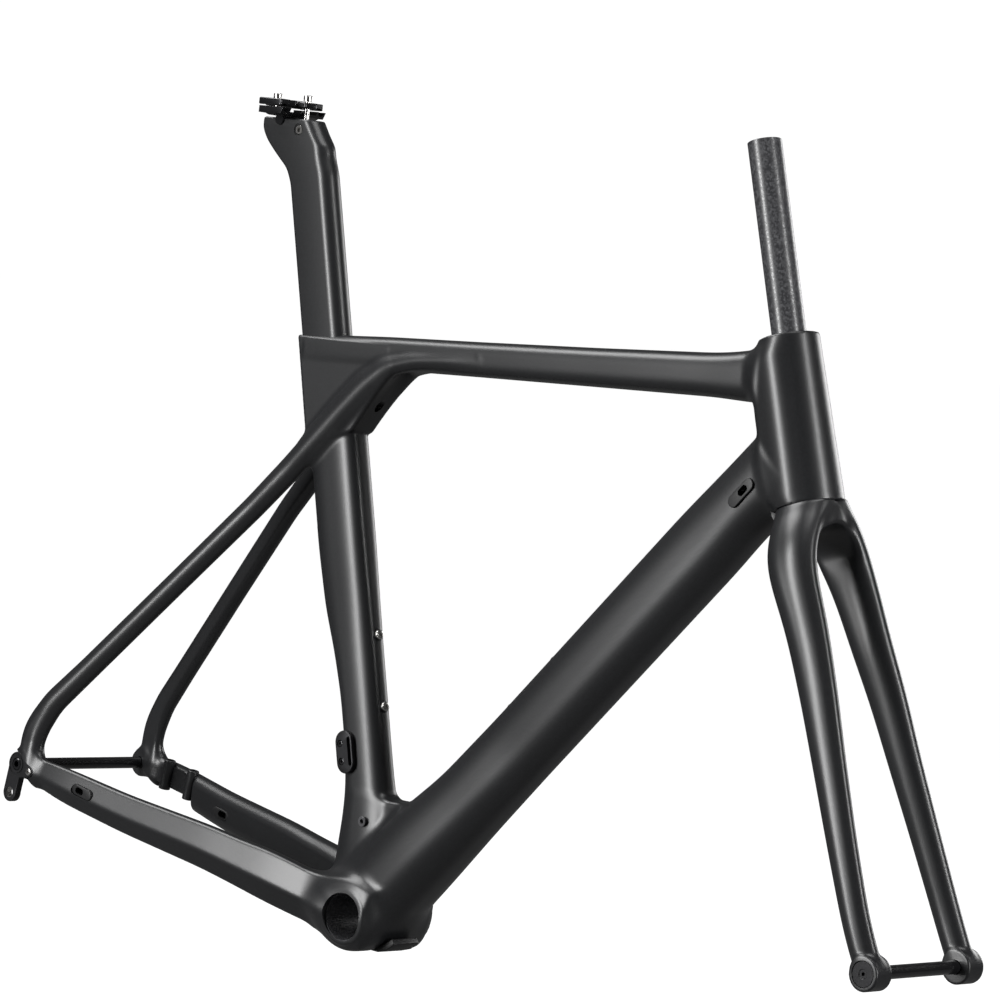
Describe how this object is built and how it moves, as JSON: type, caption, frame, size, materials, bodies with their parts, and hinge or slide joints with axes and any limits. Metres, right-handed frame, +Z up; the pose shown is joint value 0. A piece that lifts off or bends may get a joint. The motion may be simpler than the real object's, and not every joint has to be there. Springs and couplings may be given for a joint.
{
  "type": "road bicycle frameset",
  "caption": "Disc-brake road bicycle frame with a turning fork, uncut steerer, sliding aero seatpost with saddle clamp, and removable through axles.",
  "frame": {"origin": "centre of the bottom bracket, in the frame's middle plane", "axes": "+X forward, +Y to the rider's left, +Z up"},
  "size_m": [1.028, 0.1706, 0.7453],
  "materials": {
    "frame_carbon": "matte clear-coated carbon laminate",
    "raw_carbon": "bare sanded carbon laminate",
    "black_anodised": "black anodised aluminium",
    "stainless_bolts": "stainless steel",
    "bearing_steel": "ground bearing steel",
    "black_rubber": "moulded rubber"
  },
  "bodies": {
    "frame": {"head_tube": "frame_carbon", "top_tube": "frame_carbon", "down_tube": "frame_carbon", "seat_tube": "frame_carbon", "seat_cluster": "frame_carbon", "bottom_bracket_shell": "frame_carbon", "chainstay_left": "frame_carbon", "chainstay_right": "frame_carbon", "seatstay_left": "frame_carbon", "seatstay_right": "frame_carbon", "dropout_left": "frame_carbon", "dropout_right": "frame_carbon", "derailleur_hanger": "black_anodised", "hanger_screw": "stainless_bolts", "seat_clamp_wedge": "black_anodised", "seat_clamp_bolt": "stainless_bolts", "bottle_bolt_down_1": "stainless_bolts", "bottle_bolt_down_2": "stainless_bolts", "bottle_bolt_seat_1": "stainless_bolts", "bottle_bolt_seat_2": "stainless_bolts", "front_derailleur_mount": "black_anodised", "derailleur_mount_screw_1": "stainless_bolts", "derailleur_mount_screw_2": "stainless_bolts", "chain_catcher_rivnut": "black_anodised", "bottom_bracket_cable_guide": "black_rubber", "down_tube_port_cover": "black_rubber", "chainstay_port_cover": "black_rubber", "brake_hose_port_cover": "black_rubber", "brake_mount_sleeve_1": "frame_carbon", "brake_mount_sleeve_2": "frame_carbon", "lower_bearing_outer_race": "bearing_steel", "upper_bearing_outer_race": "bearing_steel", "lower_bearing_balls": "bearing_steel", "upper_bearing_balls": "bearing_steel"},
    "fork": {"fork_crown": "frame_carbon", "fork_blade_left": "frame_carbon", "fork_blade_right": "frame_carbon", "steerer_tube": "raw_carbon", "crown_race": "bearing_steel", "lower_bearing_inner_race": "bearing_steel", "upper_bearing_inner_race": "bearing_steel", "compression_ring": "black_anodised", "fork_axle_nut": "black_anodised"},
    "post": {"seatpost": "frame_carbon", "clamp_barrel_nut": "stainless_bolts"},
    "clamp_cradle": {"saddle_clamp_cradle": "black_anodised"},
    "clamp_upper": {"saddle_clamp_upper": "black_anodised", "clamp_bolt_front": "stainless_bolts", "clamp_bolt_rear": "stainless_bolts"},
    "front_axle": {"front_thru_axle": "black_anodised"},
    "rear_axle": {"rear_thru_axle": "black_anodised"}
  },
  "joints": [
    {"name": "steering", "type": "hinge", "parent": "frame", "child": "fork", "pos_m": [0.43018, 0, 0.41726], "axis": [-0.3049, 0, 0.9524], "range_deg": [-50, 50]},
    {"name": "seatpost_height", "type": "slide", "parent": "frame", "child": "post", "axis": [-0.2656, 0, 0.9641], "range_m": [-0.045, 0.04]},
    {"name": "saddle_tilt", "type": "hinge", "parent": "post", "child": "clamp_cradle", "pos_m": [-0.222, 0, 0.6915], "axis": [0, 1, 0], "range_deg": [-5, 5]},
    {"name": "clamp_opening", "type": "slide", "parent": "clamp_cradle", "child": "clamp_upper", "axis": [0, 0, 1], "range_m": [0, 0.004]},
    {"name": "front_axle_draw", "type": "slide", "parent": "fork", "child": "front_axle", "axis": [0, 1, 0], "range_m": [0, 0.12]},
    {"name": "rear_axle_draw", "type": "slide", "parent": "frame", "child": "rear_axle", "axis": [0, 1, 0], "range_m": [0, 0.17]}
  ]
}
